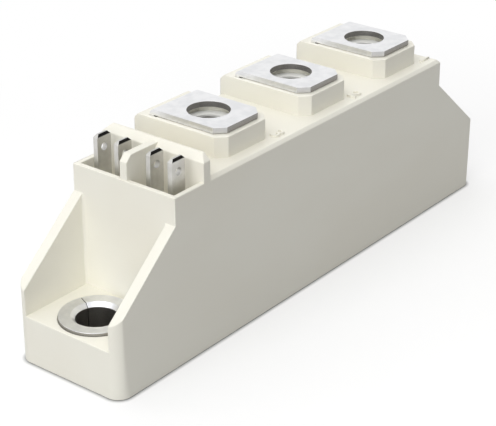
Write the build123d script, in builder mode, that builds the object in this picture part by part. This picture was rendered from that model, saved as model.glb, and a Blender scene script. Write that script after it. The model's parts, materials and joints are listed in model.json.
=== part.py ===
from build123d import *
import os
from math import hypot

os.makedirs("parts", exist_ok=True)

# Thyristor diode power module, in millimetres. X runs along the module with the gate tabs
# at the -X end, Y across it, Z up. The origin is the middle of the underside.

# Places along the module
terminal_pitch = 20.0
near_hole_to_terminal = 25.0
far_hole_to_terminal = 15.0
hole_to_lug_end = 6.25
hole_to_tower = 6.2

# Width at the foot, and how much each long side leans in by the deck
width = 19.6
side_draft = 0.3

# Heights above the heat sink
terminal_top = 31.0
skirt_lift = 0.1
lug_floor = 7.5
lug_wall_end = 11.5
slope_top = 22.2
pocket_floor = 23.0
rim_height = 26.4
deck_height = 26.8

# Housing walls and edges
lug_wall = 1.9
side_wall = 1.65
end_wall = 1.8
skirt_wall = 1.2
rim_wall = 0.8
roof_thickness = 2.0
pocket_floor_thickness = 1.8
lug_corner_radius = 2.2
lug_inner_radius = 0.4
deck_edge_chamfer = 0.5

# Back wall and divider of the gate pocket
pocket_length = 5.4
back_wall_thickness = 1.5
back_wall_top = 30.4
back_wall_chamfer = 1.0
divider_thickness = 1.3
divider_top = 30.1
divider_chamfer = 1.0
divider_setback = 0.15

# Terminal blocks, and the bosses under them
block_length = 11.5
block_setback = 2.35
block_front_chamfer = 1.5
block_rear_chamfer = 0.7
block_rear_corner = 0.1
boss_drop = 4.4
boss_front_gap = 2.55
boss_rear_gap = 0.25

# Main terminal strips
strip_thickness = 0.9
strip_width = 10.0
strip_lift = 0.1
strip_inset = 0.8
strip_rear_inset = 2.35
strip_corner_chamfer = 1.5
strip_bend = 0.15
strip_gap = 0.05
slot_relief = 0.5
screw_hole_diameter = 6.5
leg_width = 6.0
leg_step = 1.6
leg_step_height = 15.0
leg_foot_bend = 0.6
foot_length = 3.0

# Terminal nuts, size M5
nut_across_flats = 8.0
nut_height = 4.0
nut_core_diameter = 4.2
nut_depth = 0.75
nut_gap = 0.1
nut_edge_cut = 0.35
screw_well_diameter = 5.6
screw_well_depth = 3.0

# Gate tabs
tab_width = 2.8
tab_thickness = 0.8
tab_top = 30.7
tab_offset_x = 2.75
tab_divider_gap = 2.3
tab_wall_gap = 1.8
tab_corner_cut = 0.5
tab_tip_bevel = 0.25
tab_tip_bevel_height = 0.4
tab_hole_diameter = 1.2
tab_hole_drop = 2.1
tab_stem_width = 1.6
tab_stem_length = 6.0
tab_gap = 0.05

# Base plate and mounting bushes
base_thickness = 3.0
base_gap = 0.1
base_corner_radius = 1.2
base_hole_diameter = 6.6
bush_diameter = 11.0
bush_bore = 6.2
bush_proud = 0.45
bush_chamfer = 0.6
bush_gap = 0.05
bush_seam = 0.1
bush_seam_angle = 68.0

# Insulating substrate and what is soldered to it
foil_thickness = 0.3
ceramic_thickness = 0.63
ceramic_gap = 0.65
foil_margin = 0.8
pad_gap = 1.0
pad_margin = 0.3
anode_run = 4.2
common_run = 1.2
cathode_pad_length = 8.0
common_lane = 3.8
thyristor_size = 10.0
thyristor_thickness = 0.5
diode_size = 9.0
diode_thickness = 0.35
diode_gap = 1.5

# Copper clips and gate wires
clip_thickness = 0.5
clip_rise = 2.2
clip_foot = 2.6
clip_bend = 0.4
clip_overlap = 5.5
clip_inset = 0.8
clip_side_margin = 0.5
clip_terminal_gap = 0.95
wire_diameter = 0.7
wire_bend = 1.5
wire_run_height = 11.0
wire_inset = 2.0
sense_landing_gap = 3.0

# Silicone fill
gel_level = 8.0

# Levels and places worked out from the sizes above
hole_x = (near_hole_to_terminal + 2 * terminal_pitch + far_hole_to_terminal) / 2
half_length = hole_x + hole_to_lug_end
length = 2 * half_length
half_width = width / 2
deck_half_width = half_width - side_draft
tower_end = hole_x - hole_to_tower
terminal_x = {
    3: -hole_x + near_hole_to_terminal,
    2: -hole_x + near_hole_to_terminal + terminal_pitch,
    1: hole_x - far_hole_to_terminal,
}
pocket_front = -tower_end + rim_wall
back_wall_front = pocket_front + pocket_length
back_wall_rear = back_wall_front + back_wall_thickness
roof_underside = deck_height - roof_thickness
pocket_underside = pocket_floor - pocket_floor_thickness
cavity_half_width = half_width - side_wall
cavity_end = tower_end - end_wall
strip_underside = terminal_top - strip_thickness
block_top = strip_underside - strip_lift
block_front_y = -deck_half_width + block_setback
boss_bottom = roof_underside - boss_drop
boss_front_y = -cavity_half_width + boss_front_gap
boss_rear_y = cavity_half_width - boss_rear_gap
strip_front_y = block_front_y + strip_inset
strip_rear_y = deck_half_width - strip_rear_inset
leg_y = strip_rear_y - leg_step
slot_inner_y = strip_rear_y - strip_thickness - strip_gap
slot_outer_y = strip_rear_y + strip_gap
nut_seat = block_top - nut_depth - nut_height
foil_top = base_thickness + foil_thickness
ceramic_top = foil_top + ceramic_thickness
pad_top = ceramic_top + foil_thickness
thyristor_top = pad_top + thyristor_thickness
diode_top = pad_top + diode_thickness
pocket_half_width = deck_half_width - rim_wall
tab_x = back_wall_front - tab_offset_x
tab_inner_y = divider_thickness / 2 + tab_divider_gap
tab_outer_y = pocket_half_width - tab_wall_gap
tab_y = {4: -tab_outer_y, 5: -tab_inner_y, 6: tab_inner_y, 7: tab_outer_y}
tab_stem_end = pocket_floor - tab_stem_length
ceramic_half_width = cavity_half_width - ceramic_gap
conductor_half_width = ceramic_half_width - foil_margin
conductor_start = terminal_x[3] - leg_width / 2 - anode_run
conductor_end = terminal_x[1] + leg_width / 2 + common_run
cathode_pad_start = terminal_x[2] - cathode_pad_length / 2
cathode_pad_end = terminal_x[2] + cathode_pad_length / 2
cathode_pad_low_y = -conductor_half_width + common_lane + pad_gap
anode_pad_end = cathode_pad_start - pad_gap
thyristor_x = anode_pad_end - pad_margin - thyristor_size / 2
thyristor_y = -conductor_half_width + pad_margin + thyristor_size / 2
diode_x = cathode_pad_end + diode_gap + diode_size / 2
diode_y = -conductor_half_width + pad_margin + diode_size / 2
foot_front_y = leg_y - foot_length
thyristor_clip_low_y = -conductor_half_width + clip_side_margin
thyristor_clip_high_y = -conductor_half_width + common_lane - pad_margin
diode_clip_low_y = cathode_pad_low_y + pad_margin
diode_clip_high_y = foot_front_y - clip_terminal_gap
wire_landing_x = thyristor_x - thyristor_size / 2 + wire_inset
gate_landing_y = thyristor_y
sense_landing_y = thyristor_y + sense_landing_gap


def side_y(height):
    """Half width of the leaning long sides at a height."""
    return half_width - side_draft * height / deck_height


# Terminal block whose rear stands flush with the long side of the module
def terminal_block(x):
    """Block with bevelled front corners and a bevelled rear top edge."""
    with BuildPart() as block:
        with BuildSketch(Plane.YZ.offset(x)):
            with BuildLine():
                Polyline(
                    (block_front_y, roof_underside),
                    (block_front_y, block_top),
                    (side_y(block_top) - block_rear_chamfer, block_top),
                    (side_y(block_top - block_rear_chamfer), block_top - block_rear_chamfer),
                    (side_y(roof_underside), roof_underside),
                    close=True,
                )
            make_face()
        extrude(amount=block_length / 2, both=True)
        chamfer(block.edges().filter_by(Axis.Z), block_front_chamfer)
        rear_edges = block.faces().sort_by(Axis.Y)[-1].edges()
        chamfer(rear_edges.sort_by(Axis.X)[:1] + rear_edges.sort_by(Axis.X)[-1:], block_rear_corner)
    return block.part


# Housing: lugs, sloped lug walls and tower cut from one side profile
with BuildPart() as housing:
    with BuildSketch(Plane.XZ):
        with BuildLine():
            Polyline(
                (-half_length, skirt_lift),
                (-half_length, lug_wall_end),
                (-tower_end, slope_top),
                (-tower_end, rim_height),
                (back_wall_front, rim_height),
                (back_wall_front, deck_height),
                (tower_end, deck_height),
                (tower_end, slope_top),
                (half_length, lug_wall_end),
                (half_length, skirt_lift),
                close=True,
            )
        make_face()
    extrude(amount=half_width, both=True)
    upright_edges = housing.edges().filter_by(Axis.Z)
    fillet(upright_edges.filter_by_position(Axis.X, -half_length, -half_length), lug_corner_radius)
    upright_edges = housing.edges().filter_by(Axis.Z)
    fillet(upright_edges.filter_by_position(Axis.X, half_length, half_length), lug_corner_radius)
    with BuildSketch(Plane.YZ):
        with BuildLine():
            Polyline(
                (-side_y(0), 0),
                (-side_y(terminal_top), terminal_top),
                (side_y(terminal_top), terminal_top),
                (side_y(0), 0),
                close=True,
            )
        make_face()
    extrude(amount=length, both=True, mode=Mode.INTERSECT)
    deck_edges = housing.faces().sort_by(Axis.Z)[-1].edges()
    chamfer(deck_edges.filter_by(Axis.X) + deck_edges.filter_by(Axis.Y).sort_by(Axis.X)[-1:], deck_edge_chamfer)

    # Recess between the two walls of each lug, open to the end and the top
    recess_length = half_length - tower_end
    for side in (-1, 1):
        with BuildSketch(Plane.XY.offset(lug_floor)):
            with Locations((side * (tower_end + recess_length), 0)):
                Rectangle(2 * recess_length, width - 2 * lug_wall)
            inner_corners = vertices().group_by(Axis.X)[-1 if side < 0 else 0]
            fillet(inner_corners, lug_inner_radius)
        extrude(amount=deck_height - lug_floor, mode=Mode.SUBTRACT)

    # Seats of the mounting bushes
    with BuildSketch(Plane.XY):
        with Locations((-hole_x, 0), (hole_x, 0)):
            Circle(bush_diameter / 2 + bush_gap)
    extrude(amount=lug_floor + bush_proud, mode=Mode.SUBTRACT)

    # Recess for the base plate, then the cavity above it
    with BuildSketch(Plane.XY):
        RectangleRounded(length - 2 * skirt_wall, width - 2 * skirt_wall, base_corner_radius + base_gap)
    extrude(amount=base_thickness, mode=Mode.SUBTRACT)
    with BuildSketch(Plane.XY.offset(base_thickness)):
        Rectangle(2 * cavity_end, 2 * cavity_half_width)
    extrude(amount=pocket_underside - base_thickness, mode=Mode.SUBTRACT)
    with BuildSketch(Plane.XY.offset(pocket_underside)):
        with Locations(((back_wall_rear + cavity_end) / 2, 0)):
            Rectangle(cavity_end - back_wall_rear, 2 * cavity_half_width)
    extrude(amount=roof_underside - pocket_underside, mode=Mode.SUBTRACT)

    # Thin-walled gate pocket
    with BuildSketch(Plane.XY.offset(pocket_floor)):
        with Locations((pocket_front + pocket_length / 2, 0)):
            Rectangle(pocket_length, 2 * pocket_half_width)
    extrude(amount=rim_height - pocket_floor, mode=Mode.SUBTRACT)

    # Back wall of the pocket, bevelled along its front and ends, standing above the deck
    with BuildSketch(Plane.YZ.offset(back_wall_front)):
        with BuildLine():
            Polyline(
                (-side_y(pocket_floor), pocket_floor),
                (-side_y(back_wall_top), back_wall_top),
                (side_y(back_wall_top), back_wall_top),
                (side_y(pocket_floor), pocket_floor),
                close=True,
            )
        make_face()
    extrude(amount=back_wall_thickness)
    wall_edges = housing.faces().sort_by(Axis.Z)[-1].edges()
    chamfer(wall_edges.filter_by(Axis.X) + wall_edges.filter_by(Axis.Y).sort_by(Axis.X)[:1], back_wall_chamfer)

    # Divider between the two pairs of gate tabs
    divider_front = -tower_end + divider_setback
    divider_rear = back_wall_rear - divider_setback
    with BuildSketch(Plane.XZ):
        with BuildLine():
            Polyline(
                (divider_front, pocket_floor),
                (divider_front, divider_top - divider_chamfer),
                (divider_front + divider_chamfer, divider_top),
                (divider_rear, divider_top),
                (divider_rear, pocket_floor),
                close=True,
            )
        make_face()
    extrude(amount=divider_thickness / 2, both=True)

    # Slots that the gate tabs' stems pass through
    with BuildSketch(Plane.XY.offset(pocket_underside)):
        with Locations(*[(tab_x, y) for y in tab_y.values()]):
            Rectangle(tab_stem_width + 2 * tab_gap, tab_thickness + 2 * tab_gap)
    extrude(amount=pocket_floor_thickness, mode=Mode.SUBTRACT)

    # Terminal blocks with their bosses, nut pockets, screw wells and strip slots
    for x in terminal_x.values():
        add(terminal_block(x))
        with BuildSketch(Plane.XY.offset(boss_bottom)):
            with Locations((x, (boss_front_y + boss_rear_y) / 2)):
                Rectangle(block_length, boss_rear_y - boss_front_y)
        extrude(amount=boss_drop)
        with BuildSketch(Plane.XY.offset(nut_seat)):
            with Locations((x, 0)):
                RegularPolygon(nut_across_flats / 2 + nut_gap, 6, major_radius=False)
        extrude(amount=terminal_top - nut_seat, mode=Mode.SUBTRACT)
        with BuildSketch(Plane.XY.offset(nut_seat - screw_well_depth)):
            with Locations((x, 0)):
                Circle(screw_well_diameter / 2)
        extrude(amount=screw_well_depth, mode=Mode.SUBTRACT)
        with BuildSketch(Plane.YZ.offset(x)):
            with BuildLine():
                Polyline(
                    (slot_inner_y, boss_bottom),
                    (slot_inner_y, block_top - slot_relief),
                    (slot_inner_y - slot_relief, block_top),
                    (slot_outer_y, block_top),
                    (slot_outer_y, boss_bottom),
                    close=True,
                )
            make_face()
        extrude(amount=strip_width / 2 + strip_gap, both=True, mode=Mode.SUBTRACT)
housing.part.label = "housing"
export_step(housing.part, "parts/housing.step")


# Base plate that spreads the heat, with a hole under each bush
with BuildPart() as base_plate:
    with BuildSketch(Plane.XY):
        RectangleRounded(
            length - 2 * skirt_wall - 2 * base_gap,
            width - 2 * skirt_wall - 2 * base_gap,
            base_corner_radius,
        )
        with Locations((-hole_x, 0), (hole_x, 0)):
            Circle(base_hole_diameter / 2, mode=Mode.SUBTRACT)
    extrude(amount=base_thickness)
base_plate.part.label = "base_plate"
export_step(base_plate.part, "parts/base_plate.step")


def rolled_bush(x):
    """Steel sleeve rolled from strip: its bore is eased at the top and a fine seam stays open."""
    with BuildPart() as bush:
        with BuildSketch(Plane.XY.offset(base_thickness)):
            with Locations((x, 0)):
                Circle(bush_diameter / 2)
                Circle(bush_bore / 2, mode=Mode.SUBTRACT)
                with Locations(Location((0, 0), bush_seam_angle)):
                    Rectangle(bush_diameter, bush_seam, align=(Align.MIN, Align.CENTER), mode=Mode.SUBTRACT)
        extrude(amount=lug_floor + bush_proud - base_thickness)
        top_edges = bush.faces().sort_by(Axis.Z)[-1].edges().filter_by(GeomType.CIRCLE)
        chamfer(top_edges.sort_by(SortBy.RADIUS)[:1], bush_chamfer)
    return bush.part


for place, x in (("near", -hole_x), ("far", hole_x)):
    sleeve = rolled_bush(x)
    sleeve.label = f"mounting_bush_{place}"
    export_step(sleeve, f"parts/mounting_bush_{place}.step")


def main_terminal(x):
    """Strip that leaves its foot on the substrate, rises with a relief step and folds over the block."""
    with BuildPart() as strip:
        with BuildSketch(Plane.YZ.offset(x)):
            with BuildLine():
                FilletPolyline(
                    (strip_front_y, terminal_top),
                    (strip_rear_y, terminal_top),
                    (strip_rear_y, leg_step_height),
                    (leg_y, leg_step_height - leg_step),
                    (leg_y, pad_top),
                    (foot_front_y, pad_top),
                    radius=[
                        strip_bend + strip_thickness,
                        leg_foot_bend,
                        leg_foot_bend + strip_thickness,
                        leg_foot_bend + strip_thickness,
                    ],
                )
                offset(amount=strip_thickness, side=Side.RIGHT)
            make_face()
        extrude(amount=strip_width / 2, both=True)
        plate_corners = strip.edges().filter_by(Axis.Z).group_by(Axis.Y)[0]
        chamfer(plate_corners, strip_corner_chamfer)
        with Locations((x, 0, terminal_top)):
            Hole(screw_hole_diameter / 2, depth=strip_thickness)
        trim_width = (strip_width - leg_width) / 2
        with BuildSketch(Plane.XY):
            for side in (-1, 1):
                with Locations((x + side * (leg_width + trim_width) / 2, 0)):
                    Rectangle(trim_width, width)
        extrude(amount=boss_bottom - leg_step, mode=Mode.SUBTRACT)
    return strip.part


def terminal_nut(x):
    """Hexagon nut with its corners turned off at both ends."""
    with BuildPart() as nut:
        with BuildSketch(Plane.XY.offset(nut_seat)):
            with Locations((x, 0)):
                RegularPolygon(nut_across_flats / 2, 6, major_radius=False)
                Circle(nut_core_diameter / 2, mode=Mode.SUBTRACT)
        extrude(amount=nut_height)
        corner_radius = nut_across_flats / 3 ** 0.5
        with BuildSketch(Plane((x, 0, nut_seat), x_dir=(1, 0, 0), z_dir=(0, -1, 0))):
            with BuildLine():
                Polyline(
                    (0, 0),
                    (corner_radius - 2 * nut_edge_cut, 0),
                    (corner_radius, nut_edge_cut),
                    (corner_radius, nut_height - nut_edge_cut),
                    (corner_radius - 2 * nut_edge_cut, nut_height),
                    (0, nut_height),
                    close=True,
                )
            make_face()
        revolve(axis=Axis((x, 0, nut_seat), (0, 0, 1)), mode=Mode.INTERSECT)
    return nut.part


terminals = {}
for number, x in terminal_x.items():
    terminals[number] = main_terminal(x)
    terminals[number].label = f"main_terminal_{number}"
    export_step(terminals[number], f"parts/main_terminal_{number}.step")
    nut = terminal_nut(x)
    nut.label = f"terminal_nut_{number}"
    export_step(nut, f"parts/terminal_nut_{number}.step")


def gate_tab(y):
    """Blade for a push-on receptacle, on a narrower stem that ends inside the housing."""
    with BuildPart() as tab:
        with BuildSketch(Plane.XZ.offset(-y - tab_thickness / 2)):
            with BuildLine():
                Polyline(
                    (tab_x - tab_width / 2, pocket_floor),
                    (tab_x - tab_width / 2, tab_top - tab_corner_cut),
                    (tab_x - tab_width / 2 + tab_corner_cut, tab_top),
                    (tab_x + tab_width / 2 - tab_corner_cut, tab_top),
                    (tab_x + tab_width / 2, tab_top - tab_corner_cut),
                    (tab_x + tab_width / 2, pocket_floor),
                    (tab_x + tab_stem_width / 2, pocket_floor),
                    (tab_x + tab_stem_width / 2, tab_stem_end),
                    (tab_x - tab_stem_width / 2, tab_stem_end),
                    (tab_x - tab_stem_width / 2, pocket_floor),
                    close=True,
                )
            make_face()
            with Locations((tab_x, tab_top - tab_hole_drop)):
                Circle(tab_hole_diameter / 2, mode=Mode.SUBTRACT)
        extrude(amount=tab_thickness)
        tip = tab.faces().sort_by(Axis.Z)[-1]
        chamfer(tip.edges().filter_by(Axis.X), tab_tip_bevel, tab_tip_bevel_height, reference=tip)
    return tab.part


for number, y in tab_y.items():
    tab = gate_tab(y)
    tab.label = f"gate_tab_{number}"
    export_step(tab, f"parts/gate_tab_{number}.step")


def layer(low_x, high_x, low_y, high_y, bottom, thickness):
    """Flat rectangular layer given by its edges."""
    with BuildPart() as slab:
        with BuildSketch(Plane.XY.offset(bottom)):
            with Locations(((low_x + high_x) / 2, (low_y + high_y) / 2)):
                Rectangle(high_x - low_x, high_y - low_y)
        extrude(amount=thickness)
    return slab.part


# Substrate: ceramic between the bonded copper of its underside and its conductors
substrate_foil = layer(
    conductor_start, conductor_end, -conductor_half_width, conductor_half_width, base_thickness, foil_thickness
)
substrate_foil.label = "substrate_foil"
export_step(substrate_foil, "parts/substrate_foil.step")
substrate_ceramic = layer(
    conductor_start - foil_margin, conductor_end + foil_margin,
    -ceramic_half_width, ceramic_half_width, foil_top, ceramic_thickness,
)
substrate_ceramic.label = "substrate_ceramic"
export_step(substrate_ceramic, "parts/substrate_ceramic.step")
anode_pad = layer(
    conductor_start, anode_pad_end, -conductor_half_width, conductor_half_width, ceramic_top, foil_thickness
)
anode_pad.label = "anode_pad"
export_step(anode_pad, "parts/anode_pad.step")
cathode_pad = layer(
    cathode_pad_start, cathode_pad_end, cathode_pad_low_y, conductor_half_width, ceramic_top, foil_thickness
)
cathode_pad.label = "cathode_pad"
export_step(cathode_pad, "parts/cathode_pad.step")

with BuildPart() as common_pad:
    with BuildSketch(Plane.XY.offset(ceramic_top)):
        with BuildLine():
            Polyline(
                (cathode_pad_start, -conductor_half_width),
                (conductor_end, -conductor_half_width),
                (conductor_end, conductor_half_width),
                (cathode_pad_end + pad_gap, conductor_half_width),
                (cathode_pad_end + pad_gap, cathode_pad_low_y - pad_gap),
                (cathode_pad_start, cathode_pad_low_y - pad_gap),
                close=True,
            )
        make_face()
    extrude(amount=foil_thickness)
common_pad.part.label = "common_pad"
export_step(common_pad.part, "parts/common_pad.step")


# Dies
thyristor_chip = layer(
    thyristor_x - thyristor_size / 2, thyristor_x + thyristor_size / 2,
    thyristor_y - thyristor_size / 2, thyristor_y + thyristor_size / 2, pad_top, thyristor_thickness,
)
thyristor_chip.label = "thyristor_chip"
export_step(thyristor_chip, "parts/thyristor_chip.step")
diode_chip = layer(
    diode_x - diode_size / 2, diode_x + diode_size / 2,
    diode_y - diode_size / 2, diode_y + diode_size / 2, pad_top, diode_thickness,
)
diode_chip.label = "diode_chip"
export_step(diode_chip, "parts/diode_chip.step")


def clip(pad_end_x, chip_end_x, chip_level, low_y, high_y):
    """Copper bridge with a foot on a pad at one end and a longer foot on a die at the other."""
    heading = 1 if chip_end_x > pad_end_x else -1
    crown = chip_level + clip_rise
    outer_bend = clip_bend + clip_thickness
    with BuildPart() as bridge:
        with BuildSketch(Plane.XZ.offset(-high_y)):
            with BuildLine():
                underside = FilletPolyline(
                    (pad_end_x, pad_top),
                    (pad_end_x + heading * clip_foot, pad_top),
                    (pad_end_x + heading * clip_foot, crown),
                    (chip_end_x - heading * clip_overlap, crown),
                    (chip_end_x - heading * clip_overlap, chip_level),
                    (chip_end_x, chip_level),
                    radius=[outer_bend, clip_bend, clip_bend, outer_bend],
                )
                upper_side = FilletPolyline(
                    (pad_end_x, pad_top + clip_thickness),
                    (pad_end_x + heading * (clip_foot - clip_thickness), pad_top + clip_thickness),
                    (pad_end_x + heading * (clip_foot - clip_thickness), crown + clip_thickness),
                    (chip_end_x - heading * (clip_overlap - clip_thickness), crown + clip_thickness),
                    (chip_end_x - heading * (clip_overlap - clip_thickness), chip_level + clip_thickness),
                    (chip_end_x, chip_level + clip_thickness),
                    radius=[clip_bend, outer_bend, outer_bend, clip_bend],
                )
                Line(underside @ 0, upper_side @ 0)
                Line(underside @ 1, upper_side @ 1)
            make_face()
        extrude(amount=high_y - low_y)
    return bridge.part


thyristor_clip = clip(
    cathode_pad_start + clip_inset + clip_foot,
    thyristor_x - thyristor_size / 2 + clip_inset,
    thyristor_top,
    thyristor_clip_low_y,
    thyristor_clip_high_y,
)
thyristor_clip.label = "thyristor_clip"
export_step(thyristor_clip, "parts/thyristor_clip.step")
diode_clip = clip(
    cathode_pad_end - clip_inset - clip_foot,
    diode_x + diode_size / 2 - clip_inset,
    diode_top,
    diode_clip_low_y,
    diode_clip_high_y,
)
diode_clip.label = "diode_clip"
export_step(diode_clip, "parts/diode_clip.step")


def lead(start_y, landing_y):
    """Round wire that drops from a tab's stem, runs level and lands upright on the thyristor."""
    run = hypot(wire_landing_x - tab_x, landing_y - start_y)
    run_direction = (wire_landing_x - tab_x, landing_y - start_y, 0)
    sideways = (landing_y - start_y, tab_x - wire_landing_x, 0)
    with BuildPart() as wire:
        with BuildLine(Plane((tab_x, start_y, 0), x_dir=run_direction, z_dir=sideways)):
            Polyline(
                (0, tab_stem_end),
                (0, wire_run_height + wire_bend),
                (wire_bend, wire_run_height),
                (run - wire_bend, wire_run_height),
                (run, wire_run_height - wire_bend),
                (run, thyristor_top),
            )
        with BuildSketch(Plane((tab_x, start_y, tab_stem_end))):
            Circle(wire_diameter / 2)
        sweep(transition=Transition.RIGHT)
    return wire.part


gate_lead = lead(tab_y[4], gate_landing_y)
gate_lead.label = "gate_lead"
export_step(gate_lead, "parts/gate_lead.step")
sense_lead = lead(tab_y[5], sense_landing_y)
sense_lead.label = "sense_lead"
export_step(sense_lead, "parts/sense_lead.step")


# Silicone fill, with room for everything that it covers
with BuildPart() as gel_fill:
    with BuildSketch(Plane.XY.offset(base_thickness)):
        Rectangle(2 * cavity_end, 2 * cavity_half_width)
    extrude(amount=gel_level - base_thickness)
    for piece in (
        substrate_foil, substrate_ceramic, anode_pad, common_pad.part, cathode_pad,
        thyristor_chip, diode_chip, thyristor_clip, diode_clip, gate_lead, sense_lead,
        *terminals.values(),
    ):
        add(piece, mode=Mode.SUBTRACT)
gel_fill.part.label = "gel_fill"
export_step(gel_fill.part, "parts/gel_fill.step")
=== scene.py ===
# %% [markdown]
# # A narrow power module with screw terminals
# The module is a plastic housing on a metal base plate, with three folded terminal strips on
# its blocks and four small blades in a pocket at one end. The solids come from CAD as a fixed
# frame. This lesson gives them their finishes, softens their edges and adds the small things
# that a mould, a press and a tap leave behind. Lengths on the module are written in
# millimetres and become metres by MM, and those of the studio are in metres.

# %% Load the frame
import json
from math import cos, pi, radians, sin

import bmesh
import bpy
from mathutils import Matrix, Vector


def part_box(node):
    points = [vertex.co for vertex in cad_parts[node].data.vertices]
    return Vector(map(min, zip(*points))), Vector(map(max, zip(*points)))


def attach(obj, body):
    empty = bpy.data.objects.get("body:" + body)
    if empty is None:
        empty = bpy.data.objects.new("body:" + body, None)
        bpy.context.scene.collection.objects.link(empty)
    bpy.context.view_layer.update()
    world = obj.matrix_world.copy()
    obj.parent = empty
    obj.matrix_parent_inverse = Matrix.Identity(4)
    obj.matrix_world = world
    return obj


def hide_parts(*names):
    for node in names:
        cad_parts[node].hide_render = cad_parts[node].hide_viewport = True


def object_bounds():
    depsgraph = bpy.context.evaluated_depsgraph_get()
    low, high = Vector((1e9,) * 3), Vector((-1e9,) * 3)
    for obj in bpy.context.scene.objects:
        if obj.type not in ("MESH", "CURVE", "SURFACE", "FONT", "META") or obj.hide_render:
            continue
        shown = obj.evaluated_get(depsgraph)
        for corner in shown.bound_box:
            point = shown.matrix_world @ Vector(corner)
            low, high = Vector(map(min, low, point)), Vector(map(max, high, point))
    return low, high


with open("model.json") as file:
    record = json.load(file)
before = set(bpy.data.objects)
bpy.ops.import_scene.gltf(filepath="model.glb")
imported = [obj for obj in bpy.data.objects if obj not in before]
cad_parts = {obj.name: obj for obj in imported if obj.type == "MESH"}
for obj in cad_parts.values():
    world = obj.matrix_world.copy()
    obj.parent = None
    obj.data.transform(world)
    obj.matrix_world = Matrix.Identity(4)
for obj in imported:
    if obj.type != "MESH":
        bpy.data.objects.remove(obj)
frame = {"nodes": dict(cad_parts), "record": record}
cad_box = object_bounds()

MM = 0.001
scene = bpy.context.scene
nodes = frame["nodes"]
print("CAD nodes:", len(nodes))
print("CAD box in mm:", [[round(v / MM, 2) for v in corner] for corner in cad_box])

# %% [markdown]
# ## Shader maths that reads like Python
# A node tree is a picture of a formula. Placing Math nodes by hand hides the formula, so here
# one small class wraps an output socket and answers to +, -, *, / and comparisons by adding
# the Math node itself. Everything else comes from one method, which takes the node's type,
# its settings and the values or links of its sockets.

# %% Wires
class Wire:
    """An output socket: an operator on it adds a Math node to its tree."""

    def __init__(self, tree, socket):
        self.tree = tree
        self.socket = socket

    def maths(self, operation, *values):
        """A Math node with this wire as its first value."""
        values = dict(enumerate((self, *values)))
        return self.tree.node("ShaderNodeMath", {"operation": operation}, values)

    def __add__(self, other):
        return self.maths("ADD", other)

    def __sub__(self, other):
        return self.maths("SUBTRACT", other)

    def __rsub__(self, other):
        return (self * -1).maths("ADD", other)

    def __mul__(self, other):
        return self.maths("MULTIPLY", other)

    def __truediv__(self, other):
        return self.maths("DIVIDE", other)

    def __rtruediv__(self, other):
        return self.tree.node("ShaderNodeMath", {"operation": "DIVIDE"}, {0: other, 1: self})

    def __lt__(self, other):
        return self.maths("LESS_THAN", other)

    def __gt__(self, other):
        return self.maths("GREATER_THAN", other)

    def __abs__(self):
        return self.maths("ABSOLUTE")

    def maximum(self, other):
        return self.maths("MAXIMUM", other)

    def root(self):
        return self.maths("SQRT")

    __radd__ = __add__
    __rmul__ = __mul__


# %% Trees
class Tree:
    """A node tree that grows by one method."""

    def __init__(self, tree):
        self.tree = tree
        tree.nodes.clear()

    def node(self, kind, settings=None, inputs=None, out=0):
        """Adds a node: its settings first, then its sockets, given as values or wires."""
        made = self.tree.nodes.new(kind)
        for name, value in (settings or {}).items():
            setattr(made, name, value)
        for key, value in (inputs or {}).items():
            if isinstance(value, Wire):
                self.tree.links.new(value.socket, made.inputs[key])
            else:
                made.inputs[key].default_value = value
        return made if out is None else Wire(self, made.outputs[out])


# %% Colours, positions and masks
def rgb(red, green, blue):
    """A colour as a paint chart gives it, 0 to 255, turned to linear light."""
    linear = []
    for value in (red, green, blue):
        share = value / 255
        linear.append(share / 12.92 if share <= 0.04045 else ((share + 0.055) / 1.055) ** 2.4)
    return (*linear, 1.0)


def position(tree, axis):
    """One coordinate of the surface in millimetres."""
    place = tree.node("ShaderNodeTexCoord", out="Object")
    return tree.node("ShaderNodeSeparateXYZ", None, {0: place}, out=axis) / MM


def ramp(tree, value, low, high):
    """0 up to low and 1 from high on, smooth between. If low is the greater, it falls."""
    return tree.node(
        "ShaderNodeMapRange",
        {"interpolation_type": "SMOOTHSTEP"},
        {"Value": value, "From Min": low, "From Max": high},
    )


print("Middle grey in linear light:", [round(v, 3) for v in rgb(128, 128, 128)])

# %% [markdown]
# ## The camera
# The view was worked out from the object's own straight edges: the long edges, the cross
# edges and the uprights each run to a vanishing point, and the three together give the lens
# and the direction. The lens is long, so the module looks almost parallel.

# %% Camera
IMAGE_WIDTH = 496
FOCAL_PIXELS = 1559.8
AZIMUTH = radians(-51.884)
ELEVATION = radians(25.981)
ROLL = radians(0.189)
DISTANCE = 242.66 * MM
TARGET = Vector((-5.633, 0, 10.644)) * MM
SENSOR_WIDTH = 36
NEAREST_SEEN = 0.01
FARTHEST_SEEN = 20

camera_data = bpy.data.cameras.new("camera")
camera_data.sensor_width = SENSOR_WIDTH
camera_data.lens = FOCAL_PIXELS / IMAGE_WIDTH * SENSOR_WIDTH
camera_data.clip_start = NEAREST_SEEN
camera_data.clip_end = FARTHEST_SEEN
camera = bpy.data.objects.new("camera", camera_data)
scene.collection.objects.link(camera)
scene.camera = camera
back = Vector((sin(AZIMUTH) * cos(ELEVATION), -cos(AZIMUTH) * cos(ELEVATION), sin(ELEVATION)))
camera.location = TARGET + back * DISTANCE
camera.rotation_mode = "QUATERNION"
unrolled = (-back).to_track_quat("-Z", "Y")
camera.rotation_quaternion = unrolled @ Matrix.Rotation(ROLL, 3, "Z").to_quaternion()
print("Lens in mm:", round(camera_data.lens, 1))

# %% [markdown]
# ## A bright studio
# Product pictures of this kind are taken on a white sweep with large soft lights. One hangs
# almost straight above, a little behind, so the tops are bright. It doesn't show in mirrors,
# because it is stronger than the white around it and would blow out the flat plated tops. The
# other stands low at the end of the gate blades, so the end faces are as bright as the tops
# and the long side stays in an even shade. The background is white only for the camera and
# for what mirrors and glass show, which Light Path can tell apart, so it adds little light.

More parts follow.
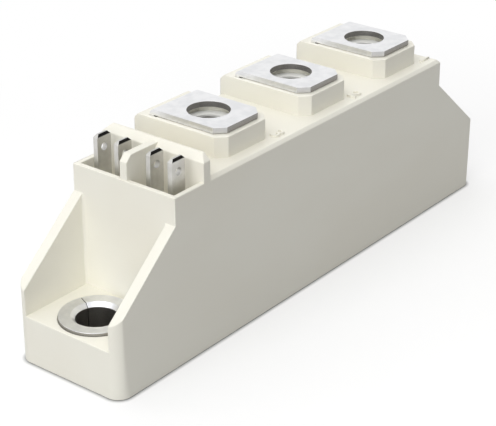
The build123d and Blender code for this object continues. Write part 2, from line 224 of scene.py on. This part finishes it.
# %% World
SKY_LIGHT = 0.18
WHITE = (1, 1, 1, 1)
world = bpy.data.worlds.new("studio")
world.use_nodes = True
scene.world = world
sky = Tree(world.node_tree)


def seen(tree, *rays):
    """1 for the named kinds of ray, else 0."""
    found = [tree.node("ShaderNodeLightPath", out=f"Is {ray} Ray") for ray in rays]
    total = found[0]
    for other in found[1:]:
        total = total.maximum(other)
    return total


sky_strength = seen(sky, "Camera", "Glossy", "Transmission") * (1 - SKY_LIGHT) + SKY_LIGHT
background = sky.node("ShaderNodeBackground", None, {"Color": WHITE, "Strength": sky_strength})
sky.node("ShaderNodeOutputWorld", None, {"Surface": background}, out=None)
print("World nodes:", len(world.node_tree.nodes))

# %% Lamps
LAMP_DISTANCE = 0.7


def softbox(name, direction, level, size, mirrored):
    """A square lamp that may show in mirrors.

    At level 1 white paper that faces it would render white if the lamp were small. A lamp
    wider than its distance gives less, because its edges light the paper at a slant.
    """
    direction = Vector(direction).normalized()
    data = bpy.data.lights.new(name, "AREA")
    data.shape = "SQUARE"
    data.size = size
    data.energy = level * pi * pi * LAMP_DISTANCE ** 2
    lamp = bpy.data.objects.new(name, data)
    scene.collection.objects.link(lamp)
    lamp.visible_glossy = mirrored
    lamp.location = direction * LAMP_DISTANCE
    lamp.rotation_mode = "QUATERNION"
    lamp.rotation_quaternion = (-direction).to_track_quat("-Z", "Y")
    print(name, "watts:", round(data.energy, 2))


softbox("overhead_softbox", (0.06, 0.25, 0.96), level=0.96, size=1.1, mirrored=False)
softbox("end_softbox", (-0.80, -0.26, 0.54), level=0.83, size=0.8, mirrored=True)
scene.view_settings.view_transform = "Standard"

# %% [markdown]
# ## The floor
# The floor is a plain pale sheet. What the camera and the mirrors see of it is white paper that
# takes a soft shadow, mixed with flat white: about half near the module and all of it farther off,
# so the sheet runs out into the background. Other rays meet grey paper, which throws only as much
# light back up as keeps the long side in its shade. Under the module every ray meets the grey. In
# a band less than a millimetre wide round the foot, the camera sees the grey fade into the white:
# a painted contact shadow that deepens the real one, so the foot stands on a thin dark line. The
# border follows the rounded outline of the foot: the distance of a floor point from it is the
# length of what sticks out past the straight edges, less the corner radius.

# %% Floor sheet
FLOOR_HALF = 3.0
FLOOR_GAP = 0.02 * MM
floor_mesh = bpy.data.meshes.new("floor")
shape = bmesh.new()
bmesh.ops.create_grid(shape, x_segments=1, y_segments=1, size=FLOOR_HALF)
bmesh.ops.translate(shape, verts=shape.verts, vec=(0, 0, cad_box[0].z - FLOOR_GAP))
shape.to_mesh(floor_mesh)
shape.free()
floor = bpy.data.objects.new("floor", floor_mesh)
scene.collection.objects.link(floor)
print("Floor reaches, in metres:", max(vertex.co.x for vertex in floor_mesh.vertices))

# %% Floor paper
FOOT_CORNER = 2.2
# In mm from the foot's outline: the band where grey paper, a painted contact shadow, fades to
# white for the camera.
PAINTED_FOOT_SHADOW = (-0.2, 0.7)
SHADOW_FADE = (20.0, 80.0)
FLAT_WHITE_NEAR = 0.45
GREY = (0.43, 0.43, 0.43, 1)
paper = bpy.data.materials.new("floor_paper")
paper.use_nodes = True
sheet = Tree(paper.node_tree)
past_x = (abs(position(sheet, "X")) - (cad_box[1].x / MM - FOOT_CORNER)).maximum(0)
past_y = (abs(position(sheet, "Y")) - (cad_box[1].y / MM - FOOT_CORNER)).maximum(0)
from_foot = (past_x * past_x + past_y * past_y).root() - FOOT_CORNER
flat_share = ramp(sheet, from_foot, *SHADOW_FADE) * (1 - FLAT_WHITE_NEAR) + FLAT_WHITE_NEAR
grey_paper = sheet.node("ShaderNodeBsdfDiffuse", None, {"Color": GREY})
white_paper = sheet.node("ShaderNodeBsdfDiffuse", None, {"Color": WHITE})
flat_white = sheet.node("ShaderNodeEmission", None, {"Color": WHITE, "Strength": 1.0})
backdrop = sheet.node("ShaderNodeMixShader", None, {0: flat_share, 1: white_paper, 2: flat_white})
# Camera rays meet grey paper under the foot and near its edge: a painted contact shadow on top of
# the real one.
watched = seen(sheet, "Camera", "Glossy", "Transmission") * ramp(sheet, from_foot, *PAINTED_FOOT_SHADOW)
mixed = sheet.node("ShaderNodeMixShader", None, {0: watched, 1: grey_paper, 2: backdrop})
sheet.node("ShaderNodeOutputMaterial", None, {"Surface": mixed}, out=None)
floor_mesh.materials.append(paper)
print("Foot in mm:", [round(2 * side / MM, 2) for side in cad_box[1][:2]])

# %% [markdown]
# ## Finishes: a shared start
# Every finish starts from Object coordinates, which are metres in the module's own frame, so
# a pattern has a real size and stays put from any side. A helper gives noise by the size of
# its grain in millimetres, stretched where a tool has dragged it. Another mixes two colours
# by a mask, because a Math node would turn them grey.

# %% Helpers for finishes
def noise(tree, grain, stretch=(1, 1, 1), detail=2.0):
    """Noise about 0.5 whose grain is that many millimetres, longer along a stretched axis."""
    place = tree.node("ShaderNodeTexCoord", out="Object")
    scale = [1 / (MM * grain * s) for s in stretch]
    spread = tree.node(
        "ShaderNodeMapping", {"vector_type": "POINT"}, {"Vector": place, "Scale": scale}
    )
    sockets = {"Vector": spread, "Scale": 1.0, "Detail": detail}
    return tree.node("ShaderNodeTexNoise", None, sockets, out=0)


def facing(tree, axis):
    """How far the surface faces along an axis of the module, -1 to 1."""
    normal = tree.node("ShaderNodeTexCoord", out="Normal")
    return tree.node("ShaderNodeSeparateXYZ", None, {0: normal}, out=axis)


def mix(tree, mask, first, second):
    """first where the mask is 0, second where it is 1.

    A Mix node has a set of sockets for each kind of value. Its colours are 6, 7 and out 2.
    """
    return tree.node("ShaderNodeMix", {"data_type": "RGBA"}, {0: mask, 6: first, 7: second}, out=2)


def bumps(tree, height, depth, strength=1.0):
    """A normal from a height of 0 to 1 that stands for so many millimetres."""
    relief = {"Height": height, "Distance": depth * MM, "Strength": strength}
    return tree.node("ShaderNodeBump", None, relief, out="Normal")


def material(name, paint):
    """A material whose Principled sockets come from the function that paints it."""
    made = bpy.data.materials.new(name)
    made.use_nodes = True
    tree = Tree(made.node_tree)
    shader = tree.node("ShaderNodeBsdfPrincipled", None, paint(tree))
    tree.node("ShaderNodeOutputMaterial", None, {"Surface": shader}, out=None)
    return made


# %% [markdown]
# ## Ivory plastic
# The housing is moulded in a glass-filled thermoplastic. Its colour is nearly even, with a
# faint cloudiness where the melt has flowed, fine pale fibres near the skin and the matt
# grain of an eroded mould. So a broad noise tints it, a second one, drawn out along the flow,
# makes the fibres, and a third, fine one the grain. Grain and fibres together also lift the
# surface by about ten microns.

# %% Ivory plastic
IVORY = rgb(239, 237, 226)
IVORY_CLOUD = rgb(236, 233, 221)
GLASS_FLECK = rgb(246, 244, 236)


def ivory(tree):
    """The housing's plastic: clouded, flecked with fibres and finely grained."""
    cloud = noise(tree, grain=14.0, stretch=(2.5, 1, 1))
    fibre = noise(tree, grain=0.10, stretch=(9, 1, 1), detail=3.0)
    grain = noise(tree, grain=0.16, detail=3.0)
    tinted = mix(tree, ramp(tree, cloud, 0.3, 0.7), IVORY, IVORY_CLOUD)
    flecked = mix(tree, ramp(tree, fibre, 0.62, 0.8) * 0.35, tinted, GLASS_FLECK)
    return {
        "Base Color": flecked,
        "Roughness": 0.46 + (grain - 0.5) * 0.22,
        "Normal": bumps(tree, grain * 0.7 + fibre * 0.3, depth=0.012, strength=0.6),
        "IOR": 1.52,
    }


ivory_plastic = material("ivory_plastic", ivory)
print("Ivory in linear light:", [round(value, 3) for value in IVORY[:3]])

# %% [markdown]
# ## Plated metals
# The terminal strips, the gate blades, the nuts, the two bushes and the base plate share one
# recipe. Rolling and brushing leave fine lines one way, the plating is cloudy on a larger scale,
# and a face that was sheared by a punch is duller and darker than the face of the sheet, with
# paler spots where the punch has rubbed it. A mask from the surface's own normal and place says
# which faces are darker: the sheared faces of the strips, the edge of the base plate and the
# upright faces of the bushes. It also darkens the bevels at the blade tips, painted near black as
# a painted dark reflection, and the thread in the nut bores, painted darker as painted shade.

# %% Metal recipe
RUBBED = 1.6
WEAR = 0.1


def plated(tree, colours, lines, darker_faces, smooth=0.26, rough=0.5):
    """Sockets of a plated metal with drawn lines and darker faces, some of them painted shade.

    The colours are the pale and the dark of the plating and the dark of the darker faces, and the
    lines say how far a line is drawn along each axis. On the strips and the base plate the darker
    faces are sheared metal, and on the bushes they are the duller upright faces. On the blade tips
    they are a painted dark reflection, and in the nut bores they are painted shade. Streaks and
    cloud add about WEAR to the roughness, which starts at smooth on a plated face and ends near
    rough on a darker one.
    """
    pale, dark, darker_colour = colours
    darker_pale_spots = (*[RUBBED * value for value in darker_colour[:3]], 1.0)
    streak = noise(tree, grain=0.05, stretch=lines, detail=3.0)
    cloud = noise(tree, grain=1.6, detail=3.0)
    speckle = noise(tree, grain=0.12, stretch=(1, 1, 2.5), detail=3.0)
    face = mix(tree, ramp(tree, cloud, 0.3, 0.7) * 0.6 + streak * 0.4, pale, dark)
    worn = streak * 0.14 + (cloud - 0.5) * 0.08
    return {
        # The third colour goes on the darker faces: sheared metal on most parts, a painted dark
        # reflection on the blade tips and painted shade in the nut bores.
        "Base Color": mix(tree, darker_faces, face, mix(tree, speckle, darker_colour, darker_pale_spots)),
        "Metallic": 1.0,
        "Roughness": smooth + worn + darker_faces * (rough - smooth - WEAR),
        "Normal": bumps(
            tree, streak * (1 - darker_faces) + speckle * darker_faces, depth=0.004, strength=0.7
        ),
    }


# %% Where the metal was cut, and where a dark reflection and shade are painted
TERMINAL_PITCH = 20.0
TERMINALS_X = {3: -15.0, 2: 5.0, 1: 25.0}
# Radii round a screw's axis, heights above the underside and the Y where a strip bends down.
STRIP_HOLE = 3.6
STRIP_UNDERSIDE = 30.0
STRIP_BEND = 6.0
BLADE_TIP = (30.2, 30.34)
NUT_BORE = 2.6
NUT_BORE_TOP = 28.87


def from_screw(tree):
    """Distance in millimetres from the nearest terminal screw's axis.

    The screws stand a pitch apart, so the remainder of X counts from whichever is nearest.
    """
    shift = 1.5 * TERMINAL_PITCH - TERMINALS_X[3]
    along = (position(tree, "X") + shift).maths("MODULO", TERMINAL_PITCH) - TERMINAL_PITCH / 2
    across = position(tree, "Y")
    return (along * along + across * across).root()


def upright(tree, low, high):
    """1 where the surface stands upright, 0 where it lies, smooth between."""
    return ramp(tree, abs(facing(tree, "Z")), low, high)


print("Screw axes along X in mm:", TERMINALS_X)

# %% Strip, blade, nut, bush and base finishes
def strip_nickel(tree):
    """Nickel on rolled copper. Its ends and the walls of its hole are sheared."""
    cut_end = ramp(tree, abs(facing(tree, "Y")), 0.45, 0.95)
    hole = from_screw(tree) < STRIP_HOLE
    on_block = (position(tree, "Z") > STRIP_UNDERSIDE) * (position(tree, "Y") < STRIP_BEND)
    darker_faces = upright(tree, 0.6, 0.35) * cut_end.maximum(hole) * on_block
    colours = rgb(241, 241, 242), rgb(223, 224, 226), rgb(131, 129, 126)
    return plated(tree, colours, lines=(1, 16, 1), darker_faces=darker_faces)


def blade_tin(tree):
    """Tin on brass, its tip bevels painted near black as a painted dark reflection."""
    bevel = ramp(tree, abs(facing(tree, "Y")), 0.5, 0.7)
    # Mask for the bevels at the blade tips, which get a painted dark reflection.
    painted_dark_tip = ramp(tree, position(tree, "Z"), *BLADE_TIP) * bevel
    # The third colour, near black, is the painted dark reflection on the tip bevels.
    colours = rgb(214, 213, 210), rgb(192, 191, 187), rgb(26, 25, 24)
    return plated(tree, colours, lines=(1, 1, 12), darker_faces=painted_dark_tip, smooth=0.38)


def nut_zinc(tree):
    """Zinc on steel, with the thread in its bore painted darker as painted shade. It is so matt
    that it is hardly metallic to the eye.
    """
    # Mask for the thread in the bore, which is painted darker as painted shade.
    painted_bore_shade = (from_screw(tree) < NUT_BORE) * (position(tree, "Z") < NUT_BORE_TOP)
    # The third colour is the painted shade of the bore.
    colours = rgb(250, 250, 247), rgb(236, 236, 232), rgb(100, 98, 93)
    coat = plated(tree, colours, lines=(1, 1, 3), darker_faces=painted_bore_shade, smooth=0.4)
    coat["Metallic"] = 0.1
    return coat


def bush_steel(tree):
    """A rolled sleeve, bright on its ends and duller in its bore."""
    bore = upright(tree, 0.5, 0.2)
    colours = rgb(238, 239, 242), rgb(220, 221, 225), rgb(136, 134, 130)
    return plated(tree, colours, lines=(3, 3, 1), darker_faces=bore, smooth=0.3, rough=0.42)


def base_nickel(tree):
    """Nickel on a copper plate, a little darker round its edge."""
    edge = upright(tree, 0.6, 0.3) * 0.6
    colours = rgb(205, 200, 192), rgb(188, 183, 175), rgb(139, 130, 119)
    return plated(tree, colours, lines=(20, 1, 1), darker_faces=edge, smooth=0.3)


finishes = {
    "housing_plastic": ivory_plastic,
    "terminal_nickel": material("strip_nickel", strip_nickel),
    "tab_tin": material("blade_tin", blade_tin),
    "nut_steel": material("nut_zinc", nut_zinc),
    "bush_steel": material("bush_steel", bush_steel),
    "base_nickel": material("base_nickel", base_nickel),
}
print("Finishes so far:", ", ".join(finishes))

# %% [markdown]
# ## What the housing hides
# The inside of the module is sealed, yet each piece gets its own finish: copper bonded to a
# white ceramic, grey silicon dies with a printed metal face, soldered copper clips, red
# sleeved gate wires and a clear soft gel over them all.

# %% Inner finishes
def bonded_copper(tree):
    """Etched copper on the ceramic, with a warm tarnish in patches."""
    etched = noise(tree, grain=0.09, detail=3.0)
    tarnish = ramp(tree, noise(tree, grain=2.4, detail=3.0), 0.35, 0.75)
    return {
        "Base Color": mix(tree, tarnish, rgb(214, 152, 118), rgb(186, 120, 88)),
        "Metallic": 1.0,
        "Roughness": 0.32 + etched * 0.2,
        "Normal": bumps(tree, etched, depth=0.006),
    }


def clip_copper(tree):
    """Drawn copper with the tints of the soldering heat."""
    drawn = noise(tree, grain=0.06, stretch=(14, 1, 1), detail=3.0)
    heat = noise(tree, grain=3.0)
    return {
        "Base Color": mix(tree, heat, rgb(220, 158, 122), rgb(178, 112, 84)),
        "Metallic": 1.0,
        "Roughness": 0.28 + drawn * 0.18,
        "Normal": bumps(tree, drawn, depth=0.005),
    }


def alumina(tree):
    """White ceramic with the fine grain of its sintering."""
    sintered = noise(tree, grain=0.07, detail=4.0)
    return {
        "Base Color": mix(tree, sintered, rgb(240, 239, 234), rgb(226, 225, 219)),
        "Roughness": 0.55 + sintered * 0.2,
        "Normal": bumps(tree, sintered, depth=0.004),
    }


def silicon(tree):
    """A die with its face printed in small cells."""
    cell = noise(tree, grain=0.25, detail=1.0)
    printed = ramp(tree, cell, 0.45, 0.55)
    return {
        "Base Color": mix(tree, printed, rgb(150, 152, 158), rgb(120, 122, 130)),
        "Metallic": 0.8,
        "Roughness": 0.22 + cell * 0.15,
        "Normal": bumps(tree, cell, depth=0.002),
    }


def wire_sleeve(tree):
    """The red sleeve of a gate wire."""
    skin = noise(tree, grain=0.2, stretch=(3, 3, 1))
    return {
        "Base Color": mix(tree, skin, rgb(196, 62, 50), rgb(168, 44, 36)),
        "Roughness": 0.4 + skin * 0.15,
        "Normal": bumps(tree, skin, depth=0.01),
    }


def soft_gel(tree):
    """Clear gel with a wet, slightly wavy skin."""
    ripple = noise(tree, grain=3.5, detail=1.0)
    return {
        "Base Color": mix(tree, ripple, rgb(238, 240, 242), rgb(226, 231, 235)),
        "Roughness": 0.08 + ripple * 0.06,
        "Transmission Weight": 0.9,
        "IOR": 1.41,
        "Normal": bumps(tree, ripple, depth=0.03),
    }


for slot_name, paint in {
    "bonded_copper": bonded_copper,
    "clip_copper": clip_copper,
    "ceramic": alumina,
    "silicon": silicon,
    "wire_sleeve": wire_sleeve,
    "gel": soft_gel,
}.items():
    finishes[slot_name] = material(paint.__name__, paint)

slot_of = {entry["node"]: entry["material_slot"] for entry in frame["record"]["subparts"]}
for name, part in nodes.items():
    part.data.materials.clear()
    part.data.materials.append(finishes[slot_of[name]])
print("Finishes:", len(finishes))

# %% [markdown]
# ## Edges that a mould and a press leave
# No real edge is razor sharp: a mould has small radii and a punch rolls the edge of a strip.
# Such an edge catches the light as a thin line, which the eye reads as true material. A CAD
# mesh is loose triangles, so a copy is merged and its flat faces joined again. Then a Bevel
# modifier rounds the edges that carry a weight, and the result becomes a plain mesh that
# stands for the CAD node.

# %% Merged copies
WELD_DISTANCE = 0.5e-6  # half a micron
FLAT_DEGREES = 0.6


def baked(piece, name):
    """The piece as its modifiers leave it, as a plain mesh object that stands at the origin."""
    graph = bpy.context.evaluated_depsgraph_get()
    mesh = bpy.data.meshes.new_from_object(piece.evaluated_get(graph), depsgraph=graph)
    mesh.name = name
    made = bpy.data.objects.new(name, mesh)
    scene.collection.objects.link(made)
    bpy.data.objects.remove(piece)
    return made


def merged_copy(node, name):
    """A copy of a CAD node with its triangles welded and its flat faces joined."""
    mesh = nodes[node].data.copy()
    mesh.name = name
    shape = bmesh.new()
    shape.from_mesh(mesh)
    bmesh.ops.remove_doubles(shape, verts=shape.verts, dist=WELD_DISTANCE)
    bmesh.ops.dissolve_limit(
        shape, angle_limit=radians(FLAT_DEGREES), verts=shape.verts, edges=shape.edges
    )
    shape.to_mesh(mesh)
    shape.free()
    made = bpy.data.objects.new(name, mesh)
    scene.collection.objects.link(made)
    return made


# %% Shading
SMOOTH_DEGREES = 35


def shade_round(mesh):
    """Shades round faces as round and flat ones as flat.

    The normal at a corner is the mean of the faces there that turn by less than a set angle,
    weighed by area, so a broad flat face keeps its own and the narrow ones follow it.
    """
    faces_at = [[] for vertex in mesh.vertices]
    for face in mesh.polygons:
        for vertex in face.vertices:
            faces_at[vertex].append(face)
    least = cos(radians(SMOOTH_DEGREES))
    normals = []
    for face in mesh.polygons:
        for vertex in face.vertices:
            normal = Vector()
            for other in faces_at[vertex]:
                if other.normal.dot(face.normal) > least:
                    normal += other.normal * other.area
            normals.append(normal.normalized())
    mesh.normals_split_custom_set(normals)


# %% Softened copies
SHARP_DEGREES = 25
ROUNDING_STEPS = 3


def convex(edge):
    """True where the faces of an edge form an outer corner."""
    return edge.is_convex


def softened(node, name, radius, chosen=convex):
    """Stands for a CAD node with its chosen sharp edges rounded by a radius in millimetres."""
    piece = merged_copy(node, name + "_rough")
    shape = bmesh.new()
    shape.from_mesh(piece.data)
    weight = shape.edges.layers.float.new("bevel_weight_edge")
    count = 0
    for edge in shape.edges:
        sharp = len(edge.link_faces) == 2 and edge.calc_face_angle(0) > radians(SHARP_DEGREES)
        if sharp and chosen(edge):
            edge[weight] = 1.0
            count += 1
    for face in shape.faces:
        face.smooth = True
    shape.to_mesh(piece.data)
    shape.free()
    rounding = piece.modifiers.new("rounding", "BEVEL")
    rounding.limit_method = "WEIGHT"
    rounding.width = radius * MM
    rounding.segments = ROUNDING_STEPS
    rounding.use_clamp_overlap = False
    rounding.miter_outer = "MITER_ARC"
    made = baked(piece, name)
    shade_round(made.data)
    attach(made, "root")
    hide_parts(node)
    print(f"{name}: {count} edges rounded, {len(made.data.polygons)} faces")


# %% Terminal strips, gate blades, bushes and base plate
STRIP_EDGE = 0.035
BLADE_EDGE = 0.04
BUSH_EDGE = 0.05
PLATE_EDGE = 0.2
for number in (1, 2, 3):
    softened(f"main_terminal_{number}", f"terminal_strip_{number}", STRIP_EDGE)
for number in (4, 5, 6, 7):
    softened(f"gate_tab_{number}", f"gate_blade_{number}", BLADE_EDGE)
for end in ("near", "far"):
    softened(f"mounting_bush_{end}", f"rolled_bush_{end}", BUSH_EDGE)
softened("base_plate", "heat_spreader_plate", PLATE_EDGE)

# %% [markdown]
# ## The housing's mould radii
# The housing has far more edges than the metal parts, and most of the inner ones are never
# seen. Only sharp outer corners outside the sealed inside are rounded: the rims of the lug
# walls, the deck, the gate pocket and the terminal blocks. The facets of a fillet meet at a
# small angle and are left alone, and inner corners stay as the frame has them.

# %% Housing edges
MOULD_RADIUS = 0.12
SKIRT_EDGE = 0.5
CAVITY_TOP = 24.9
CAVITY_HALF_LENGTH = 34.2
CAVITY_HALF_WIDTH = 8.6


def outer_corner(edge):
    """True for an outer corner of the housing that can be seen from outside."""
    x, y, z = (edge.verts[0].co + edge.verts[1].co) / 2 / MM
    beside = abs(x) >= CAVITY_HALF_LENGTH or abs(y) >= CAVITY_HALF_WIDTH
    outside = beside or z >= CAVITY_TOP
    return edge.is_convex and outside and z > SKIRT_EDGE


softened("housing", "moulded_housing", MOULD_RADIUS, outer_corner)

# %% [markdown]
# ## Threads in the nuts
# A tapped hole is a helix: the same triangular ridge, wound round the bore by one pitch a
# turn. CAD leaves the bore smooth at the core radius. Here Geometry Nodes opens it to the
# full thread radius with a countersink at both ends, winds a ridge along a spiral, trims its
# ends with the same countersinks and joins the two. Each size is a named input, so another
# nut needs new numbers and no new tree. The countersinks are shares of the thread's and the
# core's radius, the ridge is a share of the step between the two, its free ends are a share of
# a pitch and the drill is longer than the nut is high. The cuts leave slivers thinner than a
# hair, which are welded away at the end.

# %% Thread sizes
PITCH = 0.8
THREAD_RADIUS = 2.5
CORE_RADIUS = 2.1
NUT_HEIGHT = 4.0
BORE_SIDES = 48
TURN_STEPS = 36
SINK_WIDE = 1.22
SINK_NARROW = 0.95
SINK_DEPTH = 0.28
SINK_INSET = 0.16
RIDGE_SHARE = 0.77
RIDGE_STRETCH = 1.28
FREE_ENDS = 0.25
DRILL_LENGTHS = 1.5
SLIVER = 5e-6  # five microns
print("Turns of thread:", round(NUT_HEIGHT / PITCH - FREE_ENDS, 2))

# %% Thread tree
def thread_tree():
    """A Geometry Nodes tree that cuts a threaded bore along Z into the solid it is given."""
    made = bpy.data.node_groups.new("tapped_bore", "GeometryNodeTree")
    tree = Tree(made)
    face = made.interface
    face.new_socket("Geometry", in_out="INPUT", socket_type="NodeSocketGeometry")
    sizes = {
        "Thread radius": THREAD_RADIUS * MM,
        "Core radius": CORE_RADIUS * MM,
        "Pitch": PITCH * MM,
        "Height": NUT_HEIGHT * MM,
    }
    for name, value in sizes.items():
        socket = face.new_socket(name, in_out="INPUT", socket_type="NodeSocketFloat")
        socket.default_value = value
    face.new_socket("Foot", in_out="INPUT", socket_type="NodeSocketVector")
    face.new_socket("Finish", in_out="INPUT", socket_type="NodeSocketMaterial")
    face.new_socket("Geometry", in_out="OUTPUT", socket_type="NodeSocketGeometry")
    given = tree.node("NodeGroupInput", out=None)
    wires = [Wire(tree, output) for output in list(given.outputs)[:-1]]  # the last one is empty
    solid, radius, core, pitch, height, foot, finish = wires

    def lifted(geometry, z, **more):
        """The geometry moved up the bore's axis."""
        up = tree.node("ShaderNodeCombineXYZ", None, {2: z})
        sockets = {"Geometry": geometry, "Translation": up, **more}
        return tree.node("GeometryNodeTransform", None, sockets)

    def placed(geometry):
        """The geometry moved from the origin to the foot of the bore."""
        sockets = {"Geometry": geometry, "Translation": foot}
        return tree.node("GeometryNodeTransform", None, sockets)

    def cut_by(body, tools):
        """The body with each tool cut out of it. The tools go in one by one, as they overlap."""
        difference = {"operation": "DIFFERENCE", "solver": "EXACT"}
        cut = tree.node("GeometryNodeMeshBoolean", difference, {0: body}, out=None)
        for tool in tools:
            made.links.new(tool.socket, cut.inputs[1])
        return Wire(tree, cut.outputs[0])

    drill = tree.node(
        "GeometryNodeMeshCylinder",
        {"fill_type": "NGON"},
        {"Vertices": BORE_SIDES, "Radius": radius, "Depth": height * DRILL_LENGTHS},
    )
    drill = placed(lifted(drill, height / 2))
    sink = tree.node(
        "GeometryNodeMeshCone",
        {"fill_type": "NGON"},
        {
            "Vertices": BORE_SIDES,
            "Radius Top": radius * SINK_WIDE,
            "Radius Bottom": core * SINK_NARROW,
            "Depth": radius * SINK_DEPTH,
        },
    )
    inset = radius * SINK_INSET
    sinks = placed(lifted(sink, height - inset)), placed(lifted(sink, inset, Rotation=(pi, 0, 0)))
    bored = cut_by(solid, (drill, *sinks))

    ridge = (radius - core) * RIDGE_SHARE
    turns = (height - pitch * FREE_ENDS) / pitch
    helix = tree.node(
        "GeometryNodeCurveSpiral",
        None,
        {
            "Resolution": TURN_STEPS,
            "Rotations": turns,
            "Start Radius": core + ridge,
            "End Radius": core + ridge,
            "Height": turns * pitch,
        },
    )
    helix = tree.node("GeometryNodeSetCurveNormal", {"mode": "Z_UP"}, {"Curve": helix})
    outline = tree.node(
        "GeometryNodeCurvePrimitiveCircle", {"mode": "RADIUS"}, {"Resolution": 3, "Radius": ridge}
    )
    outline = tree.node(
        "GeometryNodeTransform", None, {"Geometry": outline, "Scale": (1, RIDGE_STRETCH, 1)}
    )
    sweep = {"Curve": helix, "Profile Curve": outline, "Fill Caps": True}
    wound = tree.node("GeometryNodeCurveToMesh", None, sweep)
    wound = placed(lifted(wound, pitch * (FREE_ENDS / 2)))

    both = tree.node("GeometryNodeJoinGeometry", out=None)
    for piece in (bored, cut_by(wound, sinks)):
        made.links.new(piece.socket, both.inputs[0])
    joined = Wire(tree, both.outputs[0])
    real = tree.node("GeometryNodeRealizeInstances", None, {"Geometry": joined})
    done = tree.node("GeometryNodeSetMaterial", None, {"Geometry": real, "Material": finish})
    tree.node("NodeGroupOutput", None, {0: done}, out=None)
    return made


tapped_bore = thread_tree()
print("Thread tree nodes:", len(tapped_bore.nodes))


# %% Tap the three nuts
def tapped(number):
    """Stands for a terminal nut with a thread in its bore."""
    node = f"terminal_nut_{number}"
    low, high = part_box(node)
    piece = merged_copy(node, f"plain_nut_{number}")
    tap = piece.modifiers.new("tap", "NODES")
    tap.node_group = tapped_bore
    inputs = [item for item in tapped_bore.interface.items_tree if item.in_out == "INPUT"]
    named = {item.name: item.identifier for item in inputs}
    tap[named["Foot"]] = ((low.x + high.x) / 2, (low.y + high.y) / 2, low.z)
    tap[named["Finish"]] = finishes["nut_steel"]
    made = baked(piece, f"threaded_nut_{number}")
    shape = bmesh.new()
    shape.from_mesh(made.data)
    bmesh.ops.remove_doubles(shape, verts=shape.verts, dist=SLIVER)
    bmesh.ops.dissolve_degenerate(shape, dist=SLIVER, edges=shape.edges)
    shape.to_mesh(made.data)
    shape.free()
    shade_round(made.data)
    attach(made, "root")
    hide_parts(node)
    return made


for number in (1, 2, 3):
    nut = tapped(number)
    print(nut.name, len(nut.data.polygons), "faces")

# %% [markdown]
# ## Terminal numbers on the deck
# A number stands on the deck behind each block, raised by the mould so that it never wears
# off. It is read from the gate end, so its top points along the module. Text makes the
# outline, and a shallow extrusion with a small bevel gives it height. It becomes a mesh before
# it is laid in place, with its foot sunk a little into the deck.

# %% Raised numbers
DECK_TOP = 26.8
NUMBER_SIZE = 3.5
NUMBER_HALF_HEIGHT = 0.17
NUMBER_BEVEL = 0.03
NUMBER_THINNING = 0.02
NUMBER_FOOT = DECK_TOP - 0.05
NUMBER_BEHIND = 6.55
NUMBER_Y = -7.62
CURVE_STEPS = 6
for number, terminal_x in TERMINALS_X.items():
    letters = bpy.data.curves.new(f"number_{number}_outline", "FONT")
    letters.body = str(number)
    letters.size = NUMBER_SIZE * MM
    letters.extrude = NUMBER_HALF_HEIGHT * MM
    letters.bevel_depth = NUMBER_BEVEL * MM
    letters.offset = -NUMBER_THINNING * MM
    letters.align_x = "CENTER"
    letters.align_y = "CENTER"
    letters.resolution_u = CURVE_STEPS
    text = bpy.data.objects.new(f"number_{number}_text", letters)
    scene.collection.objects.link(text)
    raised = baked(text, f"raised_number_{number}")
    middle_z = NUMBER_FOOT + NUMBER_HALF_HEIGHT + NUMBER_BEVEL
    middle = Vector((terminal_x + NUMBER_BEHIND, NUMBER_Y, middle_z)) * MM
    raised.data.transform(Matrix.Translation(middle) @ Matrix.Rotation(-pi / 2, 4, "Z"))
    raised.data.materials.clear()
    raised.data.materials.append(ivory_plastic)
    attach(raised, "root")
    top = max(vertex.co.z for vertex in raised.data.vertices) / MM
    print(f"{raised.name}: {len(raised.data.polygons)} faces, {top - DECK_TOP:.2f} mm high")
